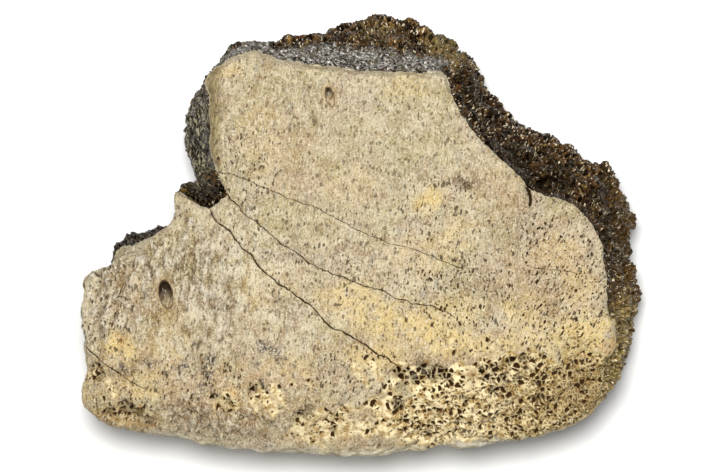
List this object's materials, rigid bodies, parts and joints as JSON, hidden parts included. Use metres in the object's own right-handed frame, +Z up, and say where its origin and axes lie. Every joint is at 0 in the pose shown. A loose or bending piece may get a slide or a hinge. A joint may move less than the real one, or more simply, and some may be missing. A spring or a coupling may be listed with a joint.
{
  "type": "fossil tyrannosaurus vertebra",
  "caption": "Broken end of a fossil tyrannosaur vertebra, tan joint face up, lying on its dark spongy broken back.",
  "frame": {"origin": "on the surface that the fossil lies on, under the middle of its bounding box", "axes": "+Z up, out of the tan joint face; +X along the fossil's length; +Y up the joint face, towards its narrow end"},
  "size_m": [0.113, 0.0892, 0.0459],
  "materials": {
    "fossil_bone": "matt tan bone surface, dark brown and glistening where broken"
  },
  "bodies": {
    "root": {"vertebra": "fossil_bone"}
  },
  "joints": []
}
